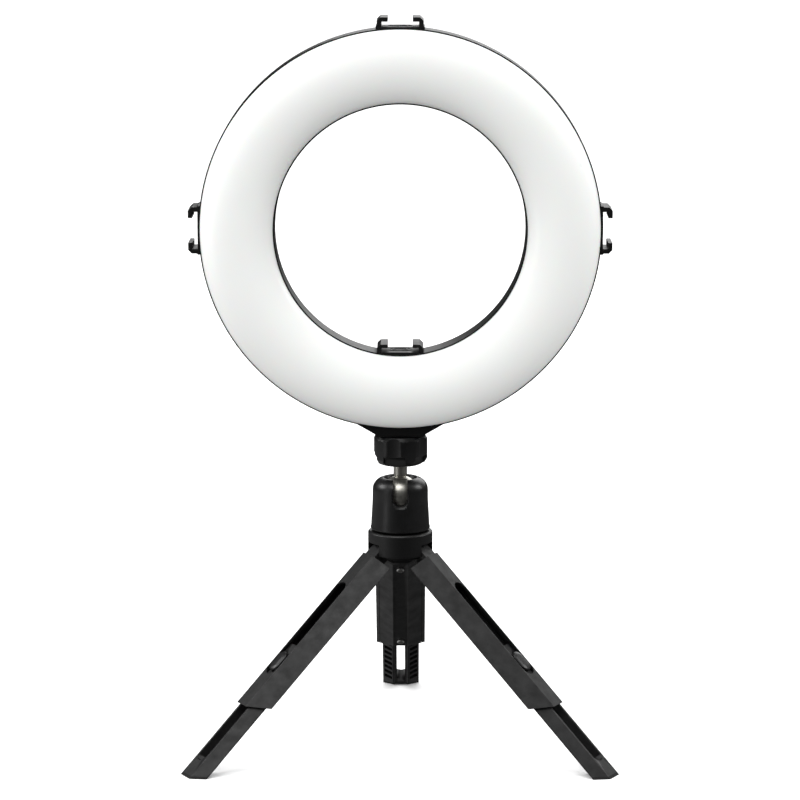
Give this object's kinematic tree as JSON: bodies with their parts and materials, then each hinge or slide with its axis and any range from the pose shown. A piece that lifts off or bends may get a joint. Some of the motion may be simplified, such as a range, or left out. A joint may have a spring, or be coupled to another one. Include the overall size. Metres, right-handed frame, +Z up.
{
  "type": "ring light",
  "caption": "Ring light with an opal domed diffuser, cold shoes round its edge and a ball head, on a folding table tripod with telescoping legs.",
  "frame": {"origin": "on the ground under the tripod's axis, in the middle of the three feet", "axes": "+Z up, the light faces -Y, +X to the right seen from the lit side; one leg points to +Y"},
  "size_m": [0.2214, 0.1926, 0.3769],
  "materials": {
    "black_satin": "satin, fine grain",
    "black_gloss": "semi-gloss",
    "opal": "glossy opal white",
    "steel_satin": "satin nickel",
    "steel_bright": "bright zinc",
    "steel_black": "black oxide",
    "brass": "plain",
    "nylon": "matte",
    "spring_steel": "plain",
    "board_white": "white solder mask",
    "led_yellow": "phosphor",
    "board_green": "solder mask",
    "rubber_black": "matte",
    "black_shell": "moulded, fine grain"
  },
  "bodies": {
    "hub": {"hub": "black_satin", "hub_retainer": "black_satin", "hub_screw": "steel_black", "left_hinge_pin": "steel_bright", "right_hinge_pin": "steel_bright", "rear_hinge_pin": "steel_bright"},
    "dome": {"dome_housing": "black_gloss", "ball_seat": "nylon", "seat_spring": "spring_steel"},
    "ball": {"ball": "steel_satin"},
    "head": {"stem": "steel_satin", "rear_case": "black_satin", "diffuser": "opal", "led_board": "board_white", "led_chips": "led_yellow", "board_screws": "steel_bright", "case_screws": "steel_black", "mount_boss": "black_satin", "boss_screws": "steel_black", "threaded_insert": "brass", "shoe_top": "black_satin", "shoe_left": "black_satin", "shoe_right": "black_satin", "shoe_inner": "black_satin", "shoe_screws": "steel_bright", "control_board": "board_green", "switches": "steel_black", "usb_inlet": "steel_bright"},
    "wheel": {"thumb_wheel": "black_gloss"},
    "left_leg": {"left_leg_shell": "black_shell", "left_leg_cover": "black_shell", "left_cover_screws": "steel_bright"},
    "left_lower": {"left_lower_leg": "black_shell", "left_foot_pad": "rubber_black", "left_lock_spring": "spring_steel"},
    "left_lock": {"left_lock_button": "black_gloss"},
    "right_leg": {"right_leg_shell": "black_shell", "right_leg_cover": "black_shell", "right_cover_screws": "steel_bright"},
    "right_lower": {"right_lower_leg": "black_shell", "right_foot_pad": "rubber_black", "right_lock_spring": "spring_steel"},
    "right_lock": {"right_lock_button": "black_gloss"},
    "rear_leg": {"rear_leg_shell": "black_shell", "rear_leg_cover": "black_shell", "rear_cover_screws": "steel_bright"},
    "rear_lower": {"rear_lower_leg": "black_shell", "rear_foot_pad": "rubber_black", "rear_lock_spring": "spring_steel"},
    "rear_lock": {"rear_lock_button": "black_gloss"},
    "dimmer_button": {"dimmer_button": "rubber_black"},
    "power_button": {"power_button": "rubber_black"},
    "brighter_button": {"brighter_button": "rubber_black"}
  },
  "joints": [
    {"name": "dome_turn", "type": "hinge", "parent": "hub", "child": "dome", "pos_m": [0, 0, 0.12], "axis": [0, 0, 1], "range_deg": [-180, 180]},
    {"name": "ball_tilt", "type": "hinge", "parent": "dome", "child": "ball", "pos_m": [0, 0, 0.1316], "axis": [1, 0, 0], "range_deg": [-20, 90]},
    {"name": "head_spin", "type": "hinge", "parent": "ball", "child": "head", "pos_m": [0, 0, 0.1316], "axis": [0, 0, 1], "continuous": true},
    {"name": "wheel_turn", "type": "hinge", "parent": "head", "child": "wheel", "pos_m": [0, 0, 0.156], "axis": [0, 0, 1], "continuous": true},
    {"name": "left_leg_fold", "type": "hinge", "parent": "hub", "child": "left_leg", "pos_m": [-0.00953, -0.0055, 0.1035], "axis": [0.5, -0.866, 0], "range_deg": [0, 46.7]},
    {"name": "left_leg_extend", "type": "slide", "parent": "left_leg", "child": "left_lower", "axis": [0.6303, 0.3639, 0.6858], "range_m": [0, 0.0465]},
    {"name": "left_lock_press", "type": "slide", "parent": "left_lower", "child": "left_lock", "axis": [0.5939, 0.3429, -0.7278], "range_m": [0, 0.0012], "stiffness_N_per_m": 400, "springref_m": -0.001, "deforming": ["left_lock_spring"]},
    {"name": "right_leg_fold", "type": "hinge", "parent": "hub", "child": "right_leg", "pos_m": [0.00953, -0.0055, 0.1035], "axis": [0.5, 0.866, 0], "range_deg": [0, 46.7]},
    {"name": "right_leg_extend", "type": "slide", "parent": "right_leg", "child": "right_lower", "axis": [-0.6303, 0.3639, 0.6858], "range_m": [0, 0.0465]},
    {"name": "right_lock_press", "type": "slide", "parent": "right_lower", "child": "right_lock", "axis": [-0.5939, 0.3429, -0.7278], "range_m": [0, 0.0012], "stiffness_N_per_m": 400, "springref_m": -0.001, "deforming": ["right_lock_spring"]},
    {"name": "rear_leg_fold", "type": "hinge", "parent": "hub", "child": "rear_leg", "pos_m": [0, 0.011, 0.1035], "axis": [-1, 0, 0], "range_deg": [0, 46.7]},
    {"name": "rear_leg_extend", "type": "slide", "parent": "rear_leg", "child": "rear_lower", "axis": [0, -0.7278, 0.6858], "range_m": [0, 0.0465]},
    {"name": "rear_lock_press", "type": "slide", "parent": "rear_lower", "child": "rear_lock", "axis": [0, -0.6858, -0.7278], "range_m": [0, 0.0012], "stiffness_N_per_m": 400, "springref_m": -0.001, "deforming": ["rear_lock_spring"]},
    {"name": "dimmer_press", "type": "slide", "parent": "head", "child": "dimmer_button", "axis": [0, -1, 0], "range_m": [0, 0.0008], "stiffness_N_per_m": 1500, "springref_m": -0.0004},
    {"name": "power_press", "type": "slide", "parent": "head", "child": "power_button", "axis": [0, -1, 0], "range_m": [0, 0.0008], "stiffness_N_per_m": 1500, "springref_m": -0.0004},
    {"name": "brighter_press", "type": "slide", "parent": "head", "child": "brighter_button", "axis": [0, -1, 0], "range_m": [0, 0.0008], "stiffness_N_per_m": 1500, "springref_m": -0.0004}
  ]
}
